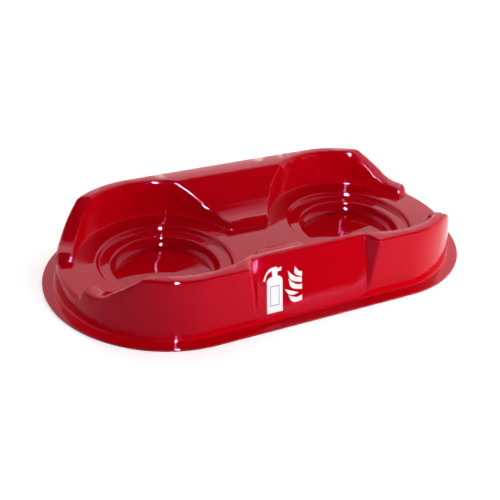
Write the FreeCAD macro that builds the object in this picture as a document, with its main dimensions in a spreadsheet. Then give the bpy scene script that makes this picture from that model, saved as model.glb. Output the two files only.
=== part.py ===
import FreeCAD, Part
import Sketcher
import math
import os

# Floor stand that holds two fire extinguishers side by side. It is one glossy red plastic
# sheet, vacuum formed over a mould, so it is a shell that is open underneath: a flat flange
# on the floor, a low deck, two round stepped wells, and a tall wall along the front and the
# back that wraps each well and slopes down to the open ends. A slanting label panel is sunk
# into the middle of the front wall.
#
# X runs along the stand, Y from front to back, Z up. The origin is on the floor at the centre.

doc = FreeCAD.newDocument("extinguisher_stand")
sheet = doc.addObject("Spreadsheet::Sheet", "sizes")

# Driving sizes, in millimetres and degrees
SIZES = (
    ("sheet_gauge", 3.0),
    ("cup_radius", 73.0),
    ("seat_width", 19.0),
    ("deck_width", 30.0),
    ("wall_width", 27.0),
    ("flange_width", 17.0),
    ("well_gap", 56.0),
    ("floor_height", 6.5),
    ("cup_depth", 17.0),
    ("seat_depth", 7.5),
    ("ledge_rise", 13.0),
    ("rim_rise", 42.0),
    ("side_draft", 4.5),
    ("well_draft", 4.0),
    ("channel_half_width", 32.0),
    ("shoulder_inset", 31.0),
    ("slope_angle", 42.0),
    ("shoulder_round", 18.0),
    ("hollow_round", 40.0),
    ("label_half_width", 87.0),
    ("label_foot", 12.0),
    ("label_lean", 19.4),
    ("label_flare", 28.0),
    ("corner_round", 7.0),
    ("label_round", 5.0),
    ("end_round", 5.0),
    ("top_break", 2.8),
    ("deck_break", 2.1),
    ("ring_break", 1.8),
    ("foot_break", 2.1),
    ("flange_break", 0.7),
    ("cut_margin", 20.0),
)
for row, (alias, number) in enumerate(SIZES, start=1):
    sheet.set("A%d" % row, alias)
    sheet.set("B%d" % row, str(number))
    sheet.setAlias("B%d" % row, alias)
doc.recompute()


class Measure:
    """A number together with the formula over the sheet's cells that gives it."""

    def __init__(self, value, text):
        self.value = value
        self.text = text

    def joined(self, other, sign, value):
        return Measure(value, "(%s %s %s)" % (self.text, sign, other.text))

    def __add__(self, other):
        return self.joined(other, "+", self.value + other.value)

    def __sub__(self, other):
        return self.joined(other, "-", self.value - other.value)

    def __mul__(self, other):
        return self.joined(other, "*", self.value * other.value)

    def __truediv__(self, other):
        return self.joined(other, "/", self.value / other.value)

    def __neg__(self):
        return Measure(-self.value, "(-1 * %s)" % self.text)


def cell(alias):
    return Measure(float(sheet.get(alias)), "sizes." + alias)


def number(value):
    return Measure(value, str(value))


def tangent(angle):
    return Measure(math.tan(math.radians(angle.value)), "tan(%s)" % angle.text)


def cosine(angle):
    return Measure(math.cos(math.radians(angle.value)), "cos(%s)" % angle.text)


NOTHING = number(0)
TWO = number(2)
RIGHT_ANGLE = number(90)
FULL_TURN = number(360)

GAUGE = cell("sheet_gauge")
DRAFT = cell("side_draft")

# Radii about a well's axis, from the cup outwards to the flange
CUP = cell("cup_radius")
SEAT = CUP + cell("seat_width")
MOUTH = SEAT + cell("deck_width")
BODY = MOUTH + cell("wall_width")
FLANGE = BODY + cell("flange_width")
CENTRE = MOUTH + cell("well_gap") / TWO

# Heights above the floor, from the cup's floor up to the rims
FLOOR = cell("floor_height")
STEP = FLOOR + cell("cup_depth")
DECK = STEP + cell("seat_depth")
LEDGE = DECK + cell("ledge_rise")
TOP = LEDGE + cell("rim_rise")

# Edges whose faces meet at less than this angle are smooth already
SMOOTH_JOIN = math.radians(12)
# A face whose normal rises more than this looks up
UPWARD = 0.4
# How far a ring's edge may lie from its nominal radius, because of the draft
RING_BAND = 2.0


def bind(feature, prop, measure):
    feature.setExpression(prop, measure.text)


def origin_plane(body, role):
    return [part for part in body.Origin.OriginFeatures if part.Role == role][0]


def new_sketch(body, name, role):
    sketch = body.newObject("Sketcher::SketchObject", name)
    sketch.AttachmentSupport = [(origin_plane(body, role), "")]
    sketch.MapMode = "FlatFace"
    return sketch


def dimension(sketch, kind, line, measure):
    """Place the start of a line by its distance from the origin along one axis."""
    if measure.value == 0:
        axis = -2 if kind == "DistanceX" else -1
        sketch.addConstraint(Sketcher.Constraint("PointOnObject", line, 1, axis))
        return
    index = sketch.addConstraint(Sketcher.Constraint(kind, -1, 1, line, 1, measure.value))
    sketch.setExpression("Constraints[%d]" % index, measure.text)


def corner_sketch(body, name, role, corners):
    """Closed outline of straight lines. Neighbours that share a coordinate are held level."""
    sketch = new_sketch(body, name, role)
    points = [FreeCAD.Vector(x.value, y.value, 0) for x, y in corners]
    count = len(points)
    for i in range(count):
        sketch.addGeometry(Part.LineSegment(points[i], points[(i + 1) % count]), False)
    for i in range(count):
        sketch.addConstraint(Sketcher.Constraint("Coincident", i, 2, (i + 1) % count, 1))
    for i in range(count):
        before = (i - 1) % count
        for axis, level, kind in ((0, "Vertical", "DistanceX"), (1, "Horizontal", "DistanceY")):
            if corners[i][axis] is corners[before][axis]:
                sketch.addConstraint(Sketcher.Constraint(level, before))
            else:
                dimension(sketch, kind, i, corners[i][axis])
    return sketch


def stadium_sketch(body, name, half_length, radius):
    """Two half circles joined by straight sides, centred on the origin."""
    sketch = new_sketch(body, name, "XY_Plane")
    c = half_length.value
    r = radius.value
    up = FreeCAD.Vector(0, 0, 1)
    right = Part.Circle(FreeCAD.Vector(c, 0, 0), up, r)
    left = Part.Circle(FreeCAD.Vector(-c, 0, 0), up, r)
    quarter = math.pi / 2
    sketch.addGeometry(Part.ArcOfCircle(right, -quarter, quarter), False)
    sketch.addGeometry(Part.LineSegment(FreeCAD.Vector(c, r, 0), FreeCAD.Vector(-c, r, 0)), False)
    sketch.addGeometry(Part.ArcOfCircle(left, quarter, 3 * quarter), False)
    sketch.addGeometry(Part.LineSegment(FreeCAD.Vector(-c, -r, 0), FreeCAD.Vector(c, -r, 0)), False)
    for i in range(4):
        sketch.addConstraint(Sketcher.Constraint("Tangent", i, 2, (i + 1) % 4, 1))
    sketch.addConstraint(Sketcher.Constraint("Horizontal", 1))
    sketch.addConstraint(Sketcher.Constraint("Symmetric", 0, 3, 2, 3, -1, 1))
    index = sketch.addConstraint(Sketcher.Constraint("DistanceX", -1, 1, 0, 3, c))
    sketch.setExpression("Constraints[%d]" % index, half_length.text)
    index = sketch.addConstraint(Sketcher.Constraint("Radius", 0, r))
    sketch.setExpression("Constraints[%d]" % index, radius.text)
    return sketch


def pad(body, name, sketch, length):
    feature = body.newObject("PartDesign::Pad", name)
    feature.Profile = sketch
    bind(feature, "Length", length)
    doc.recompute()
    return feature


def edges_of(feature, test):
    """Names of the sharp edges of a feature that pass a test of their middle, box and faces."""
    shape = feature.Shape
    names = []
    for index, edge in enumerate(shape.Edges, start=1):
        faces = shape.ancestorsOfType(edge, Part.Face)
        if len(faces) < 2:
            continue
        middle = edge.valueAt((edge.FirstParameter + edge.LastParameter) / 2)
        normals = [face.normalAt(*face.Surface.parameter(middle)) for face in faces[:2]]
        if normals[0].getAngle(normals[1]) < SMOOTH_JOIN:
            continue
        if test(middle, edge.BoundBox, [normal.z for normal in normals]):
            names.append("Edge%d" % index)
    return names


def round_edges(body, name, feature, radius, test):
    return dress(body, "PartDesign::Fillet", name, feature, "Radius", radius, test)


def break_edges(body, name, feature, size, test):
    return dress(body, "PartDesign::Chamfer", name, feature, "Size", size, test)


def dress(body, kind, name, feature, prop, size, test):
    names = edges_of(feature, test)
    if not names:
        raise RuntimeError(name + " finds no edge")
    dressed = body.newObject(kind, name)
    dressed.Base = (feature, names)
    bind(dressed, prop, size)
    doc.recompute()
    return dressed


def pocket(body, name, before, sketch, settings):
    """A pocket or groove, checked to take something away."""
    kind = "PartDesign::Groove" if "Angle" in settings else "PartDesign::Pocket"
    feature = body.newObject(kind, name)
    feature.Profile = sketch
    for prop, setting in settings.items():
        if isinstance(setting, Measure):
            bind(feature, prop, setting)
        else:
            setattr(feature, prop, setting)
    doc.recompute()
    if feature.Shape.Volume >= before.Shape.Volume:
        raise RuntimeError(name + " cuts nothing")
    return feature


def close(value, measure):
    return abs(value - measure.value) < 0.05


def level_at(box, height):
    return close(box.ZMin, height) and close(box.ZMax, height)


def well_distance(point):
    """Distance of a point from the nearer well's axis."""
    return math.hypot(abs(point.x) - CENTRE.value, point.y)


def form(label, inset):
    """The moulded form. The outside has no inset, and the hollow is inset by the sheet."""
    body = doc.addObject("PartDesign::Body", label)
    body.Label = label

    deck = DECK - inset
    ledge = LEDGE - inset
    top = TOP - inset
    side = cell("channel_half_width") + inset
    slope = cell("slope_angle")
    shoulder = BODY - cell("shoulder_inset") + inset * tangent(slope / TWO)
    hollow = shoulder - (top - ledge) / tangent(slope)
    above = top + cell("cut_margin")

    # Block with drafted sides
    outline = stadium_sketch(body, label + "_outline", CENTRE, BODY - inset)
    solid = pad(body, label + "_block", outline, top)
    bind(solid, "TaperAngle", -DRAFT)
    doc.recompute()

    # Saddle that leaves the deck open at the ends and slopes up to both walls
    saddle = corner_sketch(body, label + "_saddle_outline", "YZ_Plane", (
        (-side, deck), (side, deck), (side, ledge), (hollow, ledge), (shoulder, top),
        (shoulder, above), (-shoulder, above), (-shoulder, top), (-hollow, ledge), (-side, ledge)))
    solid = pocket(body, label + "_saddle", solid, saddle, {"Type": "ThroughAll", "Midplane": True})

    def at_shoulder(point, box, rises):
        return level_at(box, top) and close(abs(point.y), shoulder)

    def at_hollow(point, box, rises):
        return level_at(box, ledge) and close(abs(point.y), hollow)

    solid = round_edges(body, label + "_shoulders", solid, cell("shoulder_round") - inset, at_shoulder)
    solid = round_edges(body, label + "_hollows", solid, cell("hollow_round") + inset, at_hollow)

    # Stepped wells: a wide mouth down to the deck, a seat for a large base, a cup for a small one
    draft = tangent(cell("well_draft"))
    step = STEP - inset
    floor = FLOOR - inset
    mouth = CENTRE + MOUTH + inset
    seat = CENTRE + SEAT + inset
    cup = CENTRE + CUP + inset
    mouth_top = mouth + (above - deck) * draft
    seat_foot = seat - (deck - step) * draft
    cup_foot = cup - (step - floor) * draft
    profile = corner_sketch(body, label + "_well_profile", "XZ_Plane", (
        (CENTRE, floor), (cup_foot, floor), (cup, step), (seat_foot, step),
        (seat, deck), (mouth, deck), (mouth_top, above), (CENTRE, above)))
    axis_edge = "Edge%d" % profile.GeometryCount
    well = pocket(body, label + "_well", solid, profile, {
        "ReferenceAxis": (profile, [axis_edge]), "Angle": FULL_TURN})
    solid = body.newObject("PartDesign::Mirrored", label + "_second_well")
    solid.Originals = [well]
    solid.MirrorPlane = (origin_plane(body, "YZ_Plane"), [""])
    body.Tip = solid
    doc.recompute()

    # Label panel sunk into the front wall along its lean, with flared ends. It runs out at its foot
    lean = cell("label_lean")
    flare = cell("label_flare")
    foot = cell("label_foot")
    panel = BODY + foot * (tangent(lean) - tangent(DRAFT)) - inset / cosine(lean)
    half = cell("label_half_width") + inset * tangent((RIGHT_ANGLE - flare) / TWO)
    outside = FLANGE + TOP
    wide = half + (outside - panel) * tangent(flare)
    outline = corner_sketch(body, label + "_label_outline", "XY_Plane", (
        (-half, -panel), (half, -panel), (wide, -outside), (-wide, -outside)))
    solid = pocket(body, label + "_label", solid, outline, {
        "UseCustomVector": True, "Direction": FreeCAD.Vector(0, tangent(lean).value, 1),
        "Direction.y": tangent(lean), "Length": above})

    # Upright corners where a ledge ends above the deck, beside the wells
    def at_nub(point, box, rises):
        upright = close(box.ZMin, deck) and close(box.ZMax, ledge)
        beside = well_distance(point) < MOUTH.value + cell("corner_round").value
        return upright and beside and close(abs(point.y), side)

    solid = round_edges(body, label + "_nub_corners", solid, cell("corner_round") - inset, at_nub)
    return body, solid


DRAFTED_RISE = number(math.sin(math.radians(DRAFT.value)))
RINGS = ((DECK, SEAT), (STEP, SEAT), (STEP, CUP), (FLOOR, CUP))


def on_outer_wall(rises):
    return any(close(rise, DRAFTED_RISE) and rise > 0.02 for rise in rises)


def on_ring(point, box, rises):
    return any(level_at(box, level) and abs(well_distance(point) - radius.value) < RING_BAND
        for level, radius in RINGS)


def on_deck_foot(point, box, rises):
    return level_at(box, DECK) and not on_outer_wall(rises)


def on_open_end(point, box, rises):
    inside = abs(point.y) < cell("channel_half_width").value + 1
    low = box.ZMin > DECK.value - 0.05 and box.ZMin < LEDGE.value - 1
    return inside and low and box.ZMax < LEDGE.value + 0.05 and on_outer_wall(rises)


def on_label_side(point, box, rises):
    width = cell("label_half_width").value + cell("cut_margin").value
    return box.ZLength > LEDGE.value and abs(point.x) < width and point.y < 0


def on_top(point, box, rises):
    """Edges between a face that looks up and a steep one, from the ledges to the rims."""
    upward = [rise > UPWARD for rise in rises]
    return box.ZMin > LEDGE.value - 0.5 and upward[0] != upward[1]


def on_wall_foot(point, box, rises):
    return level_at(box, GAUGE) and on_outer_wall(rises)


def on_flange_edge(point, box, rises):
    return level_at(box, GAUGE) and not on_outer_wall(rises)


outer, solid = form("outer_form", NOTHING)
outline = stadium_sketch(outer, "flange_outline", CENTRE, FLANGE)
solid = pad(outer, "flange", outline, GAUGE)
solid = break_edges(outer, "ring_edges", solid, cell("ring_break"), on_ring)
solid = break_edges(outer, "deck_feet", solid, cell("deck_break"), on_deck_foot)
solid = round_edges(outer, "open_ends", solid, cell("end_round"), on_open_end)
solid = round_edges(outer, "label_corners", solid, cell("label_round"), on_label_side)
solid = break_edges(outer, "top_edges", solid, cell("top_break"), on_top)
solid = break_edges(outer, "wall_foot", solid, cell("foot_break"), on_wall_foot)
solid = break_edges(outer, "flange_edge", solid, cell("flange_break"), on_flange_edge)

inner, solid = form("inner_form", GAUGE)

stand = doc.addObject("Part::Cut", "stand_shell")
stand.Label = "stand_shell"
stand.Base = outer
stand.Tool = inner
doc.recompute()

for item in doc.Objects:
    faults = [state for state in item.State if state in ("Invalid", "Error")]
    if faults:
        raise RuntimeError("%s is %s" % (item.Name, ", ".join(faults)))
shape = stand.Shape
if shape.isNull() or not shape.isValid() or len(shape.Solids) != 1:
    raise RuntimeError("the stand is not one sound solid")
print("stand_shell: %.0f cubic mm in %d faces" % (shape.Volume, len(shape.Faces)))

os.makedirs("parts", exist_ok=True)
shape.exportStep("parts/%s.step" % stand.Label)
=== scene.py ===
# %% [markdown]
# The object is a low stand that holds two fire extinguishers side by side.
# It is one sheet of glossy red plastic, formed over a mould, so every wall leans a little and
# every edge is rounded. The only other thing on it is the white print on the front panel.
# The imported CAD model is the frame: all the pieces here are fitted to it, in metres.

import math

import bmesh
import bpy
from mathutils import Matrix, Vector
from mathutils.bvhtree import BVHTree


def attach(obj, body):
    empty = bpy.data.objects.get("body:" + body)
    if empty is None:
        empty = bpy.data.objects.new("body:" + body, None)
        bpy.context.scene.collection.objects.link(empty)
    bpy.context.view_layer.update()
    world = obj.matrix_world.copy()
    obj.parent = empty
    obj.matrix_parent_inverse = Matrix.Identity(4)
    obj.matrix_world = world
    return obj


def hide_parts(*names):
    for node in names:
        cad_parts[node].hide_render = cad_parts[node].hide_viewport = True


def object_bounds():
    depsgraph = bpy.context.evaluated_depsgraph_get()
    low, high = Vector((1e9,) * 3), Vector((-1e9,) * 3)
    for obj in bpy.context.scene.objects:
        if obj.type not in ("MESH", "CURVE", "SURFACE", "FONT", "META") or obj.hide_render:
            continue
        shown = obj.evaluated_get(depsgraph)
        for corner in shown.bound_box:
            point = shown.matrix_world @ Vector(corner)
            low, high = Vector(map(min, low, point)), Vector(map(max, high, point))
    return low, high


MM = 0.001
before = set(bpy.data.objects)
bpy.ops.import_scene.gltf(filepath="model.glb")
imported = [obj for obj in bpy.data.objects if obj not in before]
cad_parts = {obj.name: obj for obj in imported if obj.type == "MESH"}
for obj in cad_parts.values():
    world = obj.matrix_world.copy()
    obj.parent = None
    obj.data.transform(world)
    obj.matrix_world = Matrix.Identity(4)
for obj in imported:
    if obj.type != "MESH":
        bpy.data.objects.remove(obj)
shell_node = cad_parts["stand_shell"]
cad_low, cad_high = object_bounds()
print("CAD box, mm:", [round(side / MM, 2) for side in cad_high - cad_low])

# %% [markdown]
# A material is a small net of nodes. Written node by node it is long and hard to read, so the
# maths is written as Python sums instead. The class below wraps one output socket: a sum of
# wrapped sockets and plain numbers adds the Math nodes that it needs.
# Colours are never put through a Math node, which would turn them grey; they are mixed.

# %% Sums on sockets


class Signal:
    """One output socket of a node tree, which takes part in sums."""

    def __init__(self, tree, socket):
        self.tree = tree
        self.socket = socket

    def add(self, kind, settings=None, **inputs):
        """A node of any kind: its settings first, then the values or links of its sockets."""
        node = self.tree.nodes.new(kind)
        for name, value in (settings or {}).items():
            setattr(node, name, value)
        for name, value in inputs.items():
            key = int(name[1:]) if name[1:].isdigit() else name.replace("_", " ")
            fill_socket(self.tree, node.inputs[key], value)
        return node

    def maths(self, operation, first, second):
        """A Math node on sockets or numbers."""
        settings = {"operation": operation}
        node = self.add("ShaderNodeMath", settings, i0=first, i1=second)
        return Signal(self.tree, node.outputs[0])

    def __add__(self, other):
        return self.maths("ADD", self, other)

    __radd__ = __add__

    def __rsub__(self, other):
        return self.maths("SUBTRACT", other, self)

    def __mul__(self, other):
        return self.maths("MULTIPLY", self, other)

    __rmul__ = __mul__

    def between(self, low, high):
        """0 up to low, 1 from high, and a soft step in between."""
        settings = {"interpolation_type": "SMOOTHSTEP"}
        node = self.add("ShaderNodeMapRange", settings, Value=self, From_Min=low, From_Max=high)
        return Signal(self.tree, node.outputs["Result"])

    def colours(self, dark, light):
        """From one colour to another, as this value goes from 0 to 1."""
        settings = {"data_type": "RGBA"}
        node = self.add("ShaderNodeMix", settings, i0=self, i6=(*dark, 1), i7=(*light, 1))
        return Signal(self.tree, node.outputs[2])


def fill_socket(tree, socket, value):
    """Links a wrapped socket, or sets a plain value."""
    if isinstance(value, Signal):
        tree.links.new(value.socket, socket)
    else:
        socket.default_value = value


def places_of(tree):
    """The place on the piece, in metres, which is the same in every view."""
    node = tree.nodes.new("ShaderNodeTexCoord")
    return Signal(tree, node.outputs["Object"])


def mottle(places, size, detail=2.0):
    """Noise from 0 to 1 with patches of about the given size in metres."""
    node = places.add("ShaderNodeTexNoise", None, Vector=places, Scale=1 / size, Detail=detail)
    return Signal(places.tree, node.outputs[0])


def bumps(height, depth, over=None):
    """A normal bent by a height pattern; depth is the height of a full step, in metres."""
    inputs = {"Strength": 1.0, "Distance": depth, "Height": height}
    if over is not None:
        inputs["Normal"] = over
    node = height.add("ShaderNodeBump", None, **inputs)
    return Signal(height.tree, node.outputs[0])


def new_material(name):
    """A material with a Principled shader, its places signal and the shader node."""
    material = bpy.data.materials.new(name)
    material.use_nodes = True
    tree = material.node_tree
    return material, places_of(tree), tree.nodes["Principled BSDF"]


def finish_shader(shader, places, **inputs):
    """Sets the sockets of a Principled shader by name, from values or signals."""
    for name, value in inputs.items():
        fill_socket(places.tree, shader.inputs[name.replace("_", " ")], value)


print("Signals add, subtract, multiply, step and mix")

# %% [markdown]
# The plastic is polished on the show side. It is deep red through and through, and what looks
# pink on the flat decks is the bright studio mirrored at a shallow angle.
# A moulded sheet is never quite even: the gloss changes in soft patches where it cooled faster,
# and the surface has long shallow waves, faint level lines from being drawn down over the mould,
# and a very fine orange peel. A few faint rubbed patches come from stacking and handling.
# A lightly tinted shine keeps the walls deep red over the white floor.

# %% The red plastic
RED_DEEP = (0.37, 0.0, 0.003)
RED_BRIGHT = (0.42, 0.0, 0.005)
WAVE_SIZE, PEEL_SIZE, PATCH_SIZE, RUB_SIZE = 45 * MM, 2.2 * MM, 70 * MM, 9 * MM
WAVE_DEPTH, PEEL_DEPTH = 0.10 * MM, 0.003 * MM
DRAW_SCALE, DRAW_DEPTH = (18.0, 18.0, 320.0), 0.03 * MM
RUB_LOW, RUB_HIGH, RUB_FROM, RUB_FULL = 0.62, 0.74, 0.45, 0.65
GLOSS, GLOSS_IN_PATCH, GLOSS_IN_RUB = 0.02, 0.015, 0.06
PLASTIC_IOR, SHINE, SHINE_TINT = 1.45, 0.21, (1.0, 0.38, 0.8, 1.0)


def red_plastic():
    material, places, shader = new_material("moulded_plastic")
    patches = mottle(places, PATCH_SIZE)
    rubs = mottle(places, RUB_SIZE, detail=6.0).between(RUB_LOW, RUB_HIGH)
    rubbed = rubs * patches.between(RUB_FROM, RUB_FULL)
    gloss = GLOSS + GLOSS_IN_PATCH * patches + GLOSS_IN_RUB * rubbed
    waves = bumps(mottle(places, WAVE_SIZE, detail=1.0), WAVE_DEPTH)
    layers = places.add("ShaderNodeMapping", None, Vector=places, Scale=DRAW_SCALE).outputs[0]
    lines = bumps(mottle(Signal(places.tree, layers), 1.0), DRAW_DEPTH, over=waves)
    peel = bumps(mottle(places, PEEL_SIZE), PEEL_DEPTH, over=lines)
    finish_shader(shader, places, Base_Color=patches.colours(RED_DEEP, RED_BRIGHT), Roughness=gloss)
    finish_shader(shader, places, Normal=peel, IOR=PLASTIC_IOR, Specular_IOR_Level=SHINE)
    finish_shader(shader, places, Specular_Tint=SHINE_TINT)
    return material


moulded_plastic = red_plastic()
print("The red runs from", RED_DEEP, "to", RED_BRIGHT)

# %% [markdown]
# The shell starts from the CAD solid, which already has the right walls, wells and drafts.
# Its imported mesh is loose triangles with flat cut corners, and on glossy plastic a flat corner
# shows as a hard band. So a copy of the mesh is welded, and its flat faces are joined up again.

# %% A copy of the solid
WELD = 0.002 * MM
FLAT_ANGLE = math.radians(0.3)


def linked(name, mesh, material):
    """A finished piece from a mesh: shown, riding on the stand, with its finish."""
    piece = bpy.data.objects.new(name, mesh)
    bpy.context.scene.collection.objects.link(piece)
    mesh.materials.clear()
    mesh.materials.append(material)
    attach(piece, "root")
    return piece


def welded_mesh(node, name):
    """The node's triangles as one welded mesh with its flat faces whole."""
    shape = bmesh.new()
    shape.from_mesh(node.data)
    bmesh.ops.remove_doubles(shape, verts=shape.verts, dist=WELD)
    flat = {"verts": shape.verts, "edges": shape.edges}
    bmesh.ops.dissolve_limit(shape, angle_limit=FLAT_ANGLE, use_dissolve_boundaries=False, **flat)
    for face in shape.faces:
        face.smooth = True
    mesh = bpy.data.meshes.new(name)
    shape.to_mesh(mesh)
    shape.free()
    own_normals = mesh.attributes.get("custom_normal")
    if own_normals:
        mesh.attributes.remove(own_normals)
    return mesh


print("Faces in the packed solid:", len(shell_node.data.polygons))

# %% [markdown]
# On the real stand the ramps down to the open ends follow the round wall, the shoulders above
# them are crisp, and the ledges between the wells end a little further out. In the solid the
# ramps run straight and the shoulders are soft. These are lines on walls that are already right,
# so no new wall is built: each point slides along its own wall at its own height.
# A table gives the slide. Each row is a distance from the middle line in the solid, and the
# distance at which the real stand has the same height, in millimetres.

# %% Slides along the walls
MIDDLE_MOVES = [
    (0, 0), (32, 36), (34.8, 41.5), (56, 51.2),
    (82.8, 78.5), (112.9, 107.1), (118.7, 110.8), (121.6, 112.3),
]
# Over the label the last rows lead back to the solid's own line, so the rim there stays flat
FRONT_MOVES = [*MIDDLE_MOVES[:6], (117, 109.8), (119, 111.5), (119.6, 119.6)]
END_MOVES = [
    (32, -6), (34.8, -0.3), (56, 13.4), (82.8, 40.3),
    (112.9, 73.8), (118.7, 78.1), (121.6, 79.6),
]
END_TURN = math.radians(20)
WELL_X, DECK_Z, MOUTH_RADIUS, WALL_RADIUS = 150 * MM, 31 * MM, 122 * MM, 149 * MM
MOUTH_DRAFT, WALL_DRAFT = math.tan(math.radians(4)), math.tan(math.radians(4.5))
LABEL_END, LABEL_BLEND = 95 * MM, 15 * MM
TURN_FROM = 118 * MM


def moved(distance, table):
    """The new distance, between the rows of a table; past the last row it is kept."""
    for (old, new), (next_old, next_new) in zip(table, table[1:]):
        if distance <= next_old * MM:
            return (new + (distance / MM - old) * (next_new - new) / (next_old - old)) * MM
    return distance


def mouth_radius(height):
    return MOUTH_RADIUS + (height - DECK_Z) * MOUTH_DRAFT


def turned_angle(angle, radius, table, turn):
    """Angle round the well's axis after the slide, for a point on a wall of the given radius."""
    distance = radius * math.sin(angle)
    first, last = table[0][0] * MM, table[-1][0] * MM
    if distance < first:
        start = math.asin(first / radius)
        return angle / start * (turn + math.asin(table[0][1] * MM / radius))
    if distance <= last:
        return turn + math.asin(moved(distance, table) / radius)
    start = math.asin(last / radius)
    begin = turn + math.asin(table[-1][1] * MM / radius)
    share = (angle - start) / (math.pi / 2 - start)
    return begin + share * (math.pi / 2 - begin)


print("Rows in the tables:", len(MIDDLE_MOVES), len(FRONT_MOVES), len(END_MOVES))

# %% [markdown]
# A sheet drawn over a mould is softly round at every edge. The solid has narrow flat breaks
# there. At each ring of the wells the two lines of the break go apart, one along the flat and
# one along the wall. At the end of each ledge the lower line goes down by a few millimetres.

# %% Rounder rings and ledges
# Level, radius, side of the flat, side of the wall and width of the rounding, in millimetres
RINGS = [
    (31, 92, 1, -1, 3.0),
    (23.5, 91.5, -1, 1, 3.0),
    (23.5, 73, 1, -1, 3.0),
    (6.5, 71.8, -1, 1, 6.0),
]
RING_BREAK = 1.8
RINGS_FROM, RINGS_TO, RINGS_FOOT = 3, 100, 5
PAST_BREAK, OFF_BREAK = -0.2, 0.25
BREAK_LOW, BREAK_HIGH, BREAK_DROP = 41.15 * MM, 43.9 * MM, 3.0 * MM
DROP_FROM, DROP_OVER = 36 * MM, 14 * MM


def rounder(place):
    """Widens the narrow break at each ring of the wells to the soft round of the real stand."""
    outside = abs(place.x) - WELL_X
    reach, height = math.hypot(outside, place.y) / MM, place.z / MM
    if not RINGS_FROM < reach < RINGS_TO or height < RINGS_FOOT:
        return place
    for level, radius, flat, wall, width in RINGS:
        out, rise = (reach - radius) * flat / RING_BREAK, (height - level) * wall / RING_BREAK
        if min(out, rise) > PAST_BREAK and abs(out + rise - 1) < OFF_BREAK:
            grow = (radius + flat * width * (1 - rise)) / reach
            side = math.copysign(1, place.x)
            new_height = (level + wall * width * rise) * MM
            return Vector((side * (WELL_X + outside * grow), place.y * grow, new_height))
    return place


def rounder_ledge(height, along):
    """Lowers the lower line of the break along a ledge's end, to make the end rounder."""
    if not BREAK_LOW < height < BREAK_HIGH:
        return height
    share = 1 - min(1, max(0, (along - DROP_FROM) / DROP_OVER))
    return height - share * BREAK_DROP


print("Rings made rounder:", len(RINGS))

# %% [markdown]
# The wall that a point lies on says how it slides. Round the outer half of a well it turns with
# the wall. Between the wells it follows the mouth, or it is stretched with the middle ledge. Over
# the label it keeps its place across, so that the panel's corner stays straight.

# %% Where each point goes


def new_place(place):
    """Where a point goes: along its wall, at its own height but for the ledges' lower lines."""
    side, front = math.copysign(1, place.x), math.copysign(1, place.y)
    across, along = abs(place.x), abs(place.y)
    reach = math.hypot(across - WELL_X, along)
    mouth = mouth_radius(place.z)
    if reach < TURN_FROM:
        return place.copy()
    if across >= WELL_X:
        angle = math.atan2(along, across - WELL_X)
        angle = turned_angle(angle, max(reach, MOUTH_RADIUS), END_MOVES, END_TURN)
        new_across, new_along = WELL_X + reach * math.cos(angle), reach * math.sin(angle)
    elif reach < mouth:
        angle = turned_angle(math.atan2(along, WELL_X - across), mouth, MIDDLE_MOVES, 0)
        new_across, new_along = WELL_X - reach * math.cos(angle), reach * math.sin(angle)
    elif along >= mouth:
        return place.copy()
    else:
        old_angle = math.asin(along / mouth)
        angle = turned_angle(old_angle, mouth, MIDDLE_MOVES, 0)
        stretch = (WELL_X - mouth * math.cos(angle)) / (WELL_X - mouth * math.cos(old_angle))
        new_across, new_along = across * stretch, mouth * math.sin(angle)
        if front < 0 and across < LABEL_END + LABEL_BLEND:
            kept = 1 - min(1, max(0, (across - LABEL_END) / LABEL_BLEND))
            at_label = moved(along, FRONT_MOVES)
            new_along += kept * (at_label - new_along)
            new_across += kept * (across - new_across) * (along > FRONT_MOVES[-1][0] * MM)
    return Vector((side * new_across, front * new_along, rounder_ledge(place.z, along)))


ledge_end = Vector((0, MIDDLE_MOVES[1][0] * MM, BREAK_HIGH))
print("A ledge's end goes out by, mm:", round((new_place(ledge_end) - ledge_end).y / MM, 1))

# %% [markdown]
# The round walls come from the solid as flat facets. Cuts through the axis of each well give
# them more points first, and these go out to the true round of the wall.

# %% More points on the round walls
RADIAL_FROM, RADIAL_TO, RADIAL_STEP = 3, 177, 3
ON_WALL, OVER_DECK, OVER_FLOOR = 0.35 * MM, 3 * MM, 4 * MM


def is_outside(face, side):
    """Whether a face lies at the mouth's wall or outside it, round the well on one side."""
    reaches = (math.hypot(vert.co.x - side * WELL_X, vert.co.y) for vert in face.verts)
    return face.calc_center_median().x * side > 0 and min(reaches) > TURN_FROM


def cut_radially(shape):
    """More points on the round walls: cuts through each well's axis, on its own half."""
    for side in (-1, 1):
        for degrees in range(RADIAL_FROM, RADIAL_TO, RADIAL_STEP):
            turn = math.radians(degrees)
            half = [face for face in shape.faces if is_outside(face, side)]
            edges = {edge for face in half for edge in face.edges}
            verts = {vert for face in half for vert in face.verts}
            across = (-math.sin(turn), math.cos(turn), 0)
            plane = {"plane_co": (side * WELL_X, 0, 0), "plane_no": across}
            bmesh.ops.bisect_plane(shape, geom=[*half, *edges, *verts], dist=WELD, **plane)


def on_round_walls(shape):
    """Points between the corners of the facets go out to the true round of the wall."""
    for vert in shape.verts:
        place = vert.co
        outside = abs(place.x) - WELL_X
        reach = math.hypot(outside, place.y)
        mouth, wall = mouth_radius(place.z), WALL_RADIUS - place.z * WALL_DRAFT
        near_mouth = place.z > DECK_Z + OVER_DECK and abs(reach - mouth) < ON_WALL
        near_wall = outside > 0 and place.z > OVER_FLOOR and abs(reach - wall) < ON_WALL
        if near_mouth or near_wall:
            grow = (mouth if near_mouth else wall) / reach
            side = math.copysign(1, place.x)
            vert.co = (side * (WELL_X + outside * grow), place.y * grow, place.z)


print("Cuts round each well:", len(range(RADIAL_FROM, RADIAL_TO, RADIAL_STEP)))

# %% [markdown]
# Last, the few facets that folded over in the slides are eased, and the normals are weighted by
# face area: the big faces stay true, and each narrow corner turns smoothly from one to the next,
# as a moulded radius does.

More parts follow.
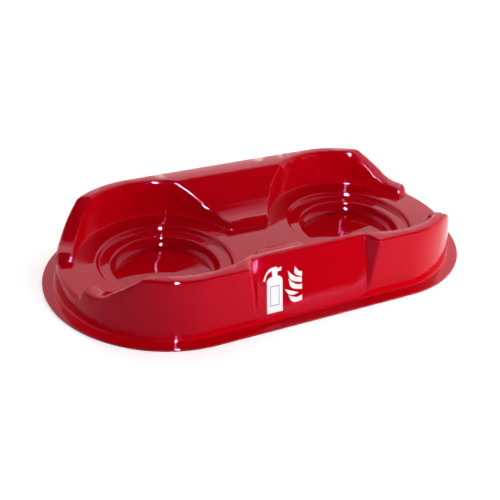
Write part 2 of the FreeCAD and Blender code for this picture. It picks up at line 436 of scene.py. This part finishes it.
# %% The shell
FOLDED = math.radians(140)
EASE_ROUNDS, EASE_SHARE = 12, 0.5
FACE_WEIGHT = 100


def eased(shape):
    """Smooths the few points where a facet was folded over, and counts the last round's folds."""
    for _ in range(EASE_ROUNDS):
        shape.normal_update()
        folds = [edge for edge in shape.edges if edge.calc_face_angle(0) > FOLDED]
        points = list({vert for edge in folds for vert in edge.verts})
        if not points:
            break
        sides = {"use_axis_x": True, "use_axis_y": True, "use_axis_z": False}
        bmesh.ops.smooth_vert(shape, verts=points, factor=EASE_SHARE, **sides)
    return len(folds)


def stand_mesh():
    mesh = welded_mesh(shell_node, "shell")
    shape = bmesh.new()
    shape.from_mesh(mesh)
    cut_radially(shape)
    on_round_walls(shape)
    for vert in shape.verts:
        vert.co = new_place(rounder(vert.co))
    print("Folded edges in the last round:", eased(shape))
    shape.to_mesh(mesh)
    shape.free()
    return mesh


shell = linked("shell", stand_mesh(), moulded_plastic)
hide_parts("stand_shell")
evening = shell.modifiers.new("even normals", "WEIGHTED_NORMAL")
evening.mode = "FACE_AREA"
evening.weight = FACE_WEIGHT
evening.keep_sharp = False
print("Shell faces:", len(shell.data.polygons))

# %% [markdown]
# The print is white ink on the leaning front panel: a plain sign of an extinguisher with five
# tongues of flame beside it. The rest of the panel stays bare.
# Ink is a film with a crisp edge, so each shape is a closed curve drawn flat, in millimetres
# across and up the panel, and given a small thickness. Bezier points keep the outlines smooth
# with very few numbers. The panel itself is found by looking for it in the CAD model.

# %% The front panel
LOOK_FROM = cad_low.y - 100 * MM
LOW_LOOK, HIGH_LOOK = 25 * MM, 70 * MM


def panel_frame():
    """A matrix whose x runs across the front panel, y up it and z out of it, from its foot."""
    faces = BVHTree.FromObject(shell, bpy.context.evaluated_depsgraph_get())
    forward = Vector((0, 1, 0))
    low = faces.ray_cast(Vector((0, LOOK_FROM, LOW_LOOK)), forward)[0]
    high = faces.ray_cast(Vector((0, LOOK_FROM, HIGH_LOOK)), forward)[0]
    across = Vector((1, 0, 0))
    up = (high - low).normalized()
    out = across.cross(up)
    foot = low - up * (low.z / up.z)
    turn = Matrix((across, up, out)).transposed().to_4x4()
    return Matrix.Translation(foot) @ turn, math.degrees(math.atan2(up.y, up.z))


panel, panel_lean = panel_frame()
print("The panel leans back", round(panel_lean, 1), "degrees")

# %% The white ink
INK_DARK, INK_LIGHT = (0.60, 0.60, 0.62), (0.71, 0.71, 0.72)
LINE_DARK, LINE_LIGHT = (0.16, 0.15, 0.17), (0.24, 0.23, 0.26)
INK_GRAIN, INK_PATCH, INK_DEPTH = 0.35 * MM, 12 * MM, 0.006 * MM
INK_IOR, INK_ROUGH, INK_ROUGH_RISE = 1.45, 0.28, 0.14


def ink(name, dark, light):
    """Screen ink: a dull film with a fine grain and slightly uneven cover."""
    material, places, shader = new_material(name)
    grain = mottle(places, INK_GRAIN)
    cover = mottle(places, INK_PATCH)
    shade = 0.5 * grain + 0.5 * cover
    finish_shader(shader, places, Base_Color=shade.colours(dark, light), IOR=INK_IOR)
    finish_shader(shader, places, Roughness=INK_ROUGH + INK_ROUGH_RISE * cover)
    finish_shader(shader, places, Normal=bumps(grain, INK_DEPTH))
    return material


white_ink = ink("white_print", INK_DARK, INK_LIGHT)
line_ink = ink("grey_print", LINE_DARK, LINE_LIGHT)
print("Two inks mixed")

# %% Shapes in ink
INK_FILM = 0.16 * MM
INK_SINK = 0.06 * MM
CURVE_STEPS = 10
PRINT_SLANT, SLANT_FROM = 0.085, 38.0


def bezier_loop(curve, points):
    """A closed outline. A point is (x, y) for a corner, or (x, y, dx, dy) with its handle."""
    spline = curve.splines.new("BEZIER")
    spline.bezier_points.add(len(points) - 1)
    spline.use_cyclic_u = True
    for target, point in zip(spline.bezier_points, points):
        place = Vector((point[0] + PRINT_SLANT * (point[1] - SLANT_FROM), point[1], 0)) * MM
        reach = Vector((*point[2:], 0)) * MM if len(point) > 2 else Vector()
        kind = "ALIGNED" if len(point) > 2 else "VECTOR"
        target.co = place
        target.handle_left_type = target.handle_right_type = kind
        if len(point) > 2:
            target.handle_left = place - reach
            target.handle_right = place + reach


def printed(name, loops, material, film=INK_FILM):
    """A flat shape of ink on the panel from its closed outlines."""
    curve = bpy.data.curves.new(name, "CURVE")
    curve.dimensions = "2D"
    curve.fill_mode = "BOTH"
    curve.resolution_u = CURVE_STEPS
    curve.extrude = film / 2
    for points in loops:
        bezier_loop(curve, points)
    drawing = bpy.data.objects.new(name, curve)
    bpy.context.scene.collection.objects.link(drawing)
    bpy.context.view_layer.update()
    seen = drawing.evaluated_get(bpy.context.evaluated_depsgraph_get())
    mesh = bpy.data.meshes.new_from_object(seen)
    bpy.data.objects.remove(drawing)
    shape = bmesh.new()
    shape.from_mesh(mesh)
    bmesh.ops.remove_doubles(shape, verts=shape.verts, dist=WELD)
    bmesh.ops.recalc_face_normals(shape, faces=shape.faces)
    shape.to_mesh(mesh)
    shape.free()
    mesh.transform(Matrix.Translation((0, 0, film / 2 - INK_SINK)))
    mesh.transform(panel)
    return linked(name, mesh, material)


print("Ink film, mm:", round(INK_FILM / MM, 2))

# %% [markdown]
# The extinguisher is a tall body with rounded shoulders, a neck with its lever, and a hose that
# leaves to the left. A grey frame inside the body stands for the label on its front.

# %% The extinguisher sign
BODY_LEFT, BODY_RIGHT, BODY_FOOT, BODY_SHOULDER = -69.5, -46.5, 15.0, 62.5
SHOULDER = 6.0
NECK_LEFT, NECK_RIGHT, NECK_TOP = -61.5, -54.0, 70.0
FRAME_IN, FRAME_FOOT, FRAME_TOP, FRAME_LINE = 4.6, 24.0, 50.5, 1.1
FRAME_RAISE = 0.04 * MM


def extinguisher_outline():
    """Body, neck and lever in one outline, counter-clockwise from the left foot."""
    shoulder_start = BODY_SHOULDER - SHOULDER
    lever = [
        (NECK_RIGHT, BODY_SHOULDER),
        (NECK_RIGHT, NECK_TOP - 1.5),
        (-48.0, NECK_TOP - 1.0),
        (-48.0, NECK_TOP + 4.0),
        (-52.5, NECK_TOP + 2.6),
        (-57.5, NECK_TOP + 5.2, -3.0, 0.2),
        (NECK_LEFT - 0.5, NECK_TOP + 2.0),
        (NECK_LEFT, BODY_SHOULDER),
    ]
    right = [(BODY_RIGHT, BODY_FOOT), (BODY_RIGHT, shoulder_start, 0, 3)]
    top_right = [(BODY_RIGHT - SHOULDER, BODY_SHOULDER, -2, 0)]
    top_left = [(BODY_LEFT + SHOULDER, BODY_SHOULDER, -2, 0), (BODY_LEFT, shoulder_start, 0, -3)]
    return [(BODY_LEFT, BODY_FOOT), *right, *top_right, *lever, *top_left]


def rectangle(left, foot, right, top):
    return [(left, foot), (right, foot), (right, top), (left, top)]


body_print = printed("extinguisher_print", [extinguisher_outline()], white_ink)
outer = (BODY_LEFT + FRAME_IN, FRAME_FOOT, BODY_RIGHT - FRAME_IN, FRAME_TOP)
step = (FRAME_LINE, FRAME_LINE, -FRAME_LINE, -FRAME_LINE)
inner = [edge + inset for edge, inset in zip(outer, step)]
frame_loops = [rectangle(*outer), rectangle(*inner)]
label_line = printed("sign_frame_print", frame_loops, line_ink, film=INK_FILM + FRAME_RAISE)
HOSE = [
    (-61.2, 74.6, -4, 0),
    (-70.4, 69.2, -2.2, -2.6),
    (-75.0, 59.4),
    (-72.4, 58.6),
    (-69.0, 67.0, 1.6, 1.9),
    (-61.2, 71.4),
]
hose_print = printed("hose_print", [HOSE], white_ink)
sign = (body_print, label_line, hose_print)
print("Sign faces:", sum(len(piece.data.polygons) for piece in sign))

# %% [markdown]
# Each tongue of flame is the same shape at its own place: it starts at a point on the left,
# swells, and sweeps to the right. The fourth ends in a point, the others are cut square.

# %% The flames
#          start          end         thickness  sag   square end
FLAMES = [
    ((-27.5, 70.0), (-17.0, 58.0), 6.0, 3.4, True),
    ((-38.5, 66.5), (-17.5, 50.5), 6.0, 4.4, True),
    ((-37.5, 56.0), (-17.0, 41.0), 6.2, 4.8, True),
    ((-43.0, 42.5), (-22.0, 34.0), 5.2, 2.6, False),
    ((-38.0, 33.5), (-17.0, 26.5), 6.4, 4.2, True),
]
TONGUE_RUN, TONGUE_CUT = 0.24, 0.55


def tongue(start, end, thickness, sag, square):
    """The outline of one tongue, from its left point along the lower side and back above."""
    first, last = Vector(start), Vector(end)
    along = last - first
    side = Vector((along.y, -along.x)).normalized()
    middle = first + along * 0.5 + side * sag
    half = side * thickness / 2
    run = along * TONGUE_RUN
    low, high = middle + half, middle - half
    tip = [tuple(last)]
    if square:
        drop = Vector((0, thickness * TONGUE_CUT))
        tip = [tuple(last - drop), tuple(last + drop)]
    return [tuple(first), (*low, *run), *tip, (*high, *-run)]


flames = [
    printed(f"flame_{number}", [tongue(*flame)], white_ink)
    for number, flame in enumerate(FLAMES, 1)
]
print("Flames:", len(flames))

# %% [markdown]
# The studio is plain: a wide pale floor, and a surround that is white behind and to the right,
# and dark in front and overhead. A low soft lamp at the front right lights the walls, and a tall
# narrow lamp at the front left only shows as a streak in the wells. The camera sees the floor and
# the surround as white, and the floor still keeps the shadow that the stand throws on it.

# %% The studio
FLOOR_SIZE = 8.0
FLOOR_COLOUR = (0.86, 0.86, 0.86)
FLOOR_SHADE, FLOOR_PATCH, FLOOR_ROUGH = 0.98, 0.5, 0.9
FLOOR_GLOW, FLOOR_GAP = 0.30, 0.2 * MM


def floor_material():
    material = bpy.data.materials.new("studio_floor")
    material.use_nodes = True
    tree = material.node_tree
    places = places_of(tree)
    shader = tree.nodes["Principled BSDF"]
    seen = places.add("ShaderNodeLightPath").outputs
    to_camera = Signal(tree, seen["Is Camera Ray"]) + Signal(tree, seen["Is Glossy Ray"])
    white = to_camera + Signal(tree, seen["Is Transmission Ray"])
    darker = tuple(FLOOR_SHADE * part for part in FLOOR_COLOUR)
    shade = mottle(places, FLOOR_PATCH).colours(darker, FLOOR_COLOUR)
    finish_shader(shader, places, Base_Color=shade, Roughness=FLOOR_ROUGH, Specular_IOR_Level=0.0)
    glow = places.add("ShaderNodeEmission", None, Strength=white * FLOOR_GLOW)
    both = tree.nodes.new("ShaderNodeAddShader")
    tree.links.new(shader.outputs[0], both.inputs[0])
    tree.links.new(glow.outputs[0], both.inputs[1])
    tree.links.new(both.outputs[0], tree.nodes["Material Output"].inputs["Surface"])
    return material


floor_shape = bmesh.new()
bmesh.ops.create_grid(floor_shape, x_segments=1, y_segments=1, size=FLOOR_SIZE / 2)
floor_mesh = bpy.data.meshes.new("floor")
floor_shape.to_mesh(floor_mesh)
floor_shape.free()
floor_mesh.materials.append(floor_material())
floor_mesh.transform(Matrix.Translation((0, 0, cad_low.z - FLOOR_GAP)))
floor = bpy.data.objects.new("floor", floor_mesh)
bpy.context.scene.collection.objects.link(floor)
print("Floor side, m:", FLOOR_SIZE)

# %% The surround and the lamps
SKY_DARK, SKY_BRIGHT = 0.12, 2.05
SKY_TOP, SKY_FADE = 0.87, 0.04
SCREEN_RIGHT, SCREEN_BEHIND, SCREEN_FROM, SCREEN_FULL = 0.35, 0.94, -0.10, 0.05
AIM = Vector((0, 0, 40 * MM))


def surround():
    """White behind and to the right, up to a level, and dark in front and overhead."""
    world = bpy.data.worlds.new("studio")
    bpy.context.scene.world = world
    world.use_nodes = True
    tree = world.node_tree
    node = tree.nodes.new("ShaderNodeTexCoord")
    way = Signal(tree, node.outputs["Generated"])
    parts = way.add("ShaderNodeSeparateXYZ", None, Vector=way).outputs
    right, behind, up = (Signal(tree, parts[axis]) for axis in "XYZ")
    towards = SCREEN_RIGHT * right + SCREEN_BEHIND * behind
    screen = towards.between(SCREEN_FROM, SCREEN_FULL)
    bright = screen * (1 - up.between(SKY_TOP, SKY_TOP + SKY_FADE))
    level = SKY_DARK + bright * (SKY_BRIGHT - SKY_DARK)
    seen = way.add("ShaderNodeLightPath").outputs
    direct = Signal(tree, seen["Is Camera Ray"])
    strength = direct + (1 - direct) * level
    fill_socket(tree, tree.nodes["Background"].inputs["Strength"], strength)
    tree.nodes["Background"].inputs["Color"].default_value = (1, 1, 1, 1)


def lamp(name, azimuth, height, distance, width, tall, watts):
    """A rectangular lamp that looks at the stand; azimuth 0 is behind it, 90 at its right."""
    turn, rise = math.radians(azimuth), math.radians(height)
    way = Vector((math.sin(turn) * math.cos(rise), math.cos(turn) * math.cos(rise), math.sin(rise)))
    light = bpy.data.lights.new(name, "AREA")
    light.shape = "RECTANGLE"
    light.size, light.size_y = width, tall
    light.energy = watts
    holder = bpy.data.objects.new(name, light)
    holder.location = AIM + way * distance
    holder.rotation_euler = (-way).to_track_quat("-Z", "Y").to_euler()
    bpy.context.scene.collection.objects.link(holder)
    return holder


surround()
soft = lamp("front_softbox", azimuth=152, height=13, distance=1.25, width=0.8, tall=0.45, watts=14.5)
soft.visible_glossy = False
streak = lamp("streak_lamp", azimuth=-163, height=36, distance=2.0, width=0.11, tall=1.8, watts=1000)
streak.visible_diffuse = False
print("Surround from", SKY_DARK, "in front to", SKY_BRIGHT, "behind")

# %% [markdown]
# The camera stands in front, to the left and above, and is tipped a little to one side, as the
# edges of the stand in the photograph show. Its height and turn are kept as angles, so it can
# be read as a viewing direction.

# %% The camera
CAMERA_TURN, CAMERA_HEIGHT, CAMERA_TIP = -30.48, 30.85, 4.61
CAMERA_DISTANCE, CAMERA_LENS, CAMERA_SENSOR = 1284.27 * MM, 66.87, 36
CAMERA_AIM = Vector((-38.26, -33.85, 40.0)) * MM


def stand_camera():
    turn, rise, tip = (math.radians(a) for a in (CAMERA_TURN, CAMERA_HEIGHT, CAMERA_TIP))
    back = Vector((math.sin(turn) * math.cos(rise), -math.cos(turn) * math.cos(rise), math.sin(rise)))
    right = Vector((0, 0, 1)).cross(back).normalized()
    up = back.cross(right)
    tipped_right = right * math.cos(tip) + up * math.sin(tip)
    tipped_up = up * math.cos(tip) - right * math.sin(tip)
    turned = Matrix((tipped_right, tipped_up, back)).transposed().to_4x4()
    data = bpy.data.cameras.new("camera")
    data.lens = CAMERA_LENS
    data.sensor_width = CAMERA_SENSOR
    camera = bpy.data.objects.new("camera", data)
    camera.matrix_world = Matrix.Translation(CAMERA_AIM + back * CAMERA_DISTANCE) @ turned
    bpy.context.scene.collection.objects.link(camera)
    bpy.context.scene.camera = camera
    return camera


print("Camera at, mm:", [round(c / MM) for c in stand_camera().location])

bpy.context.scene.view_settings.view_transform = "Standard"
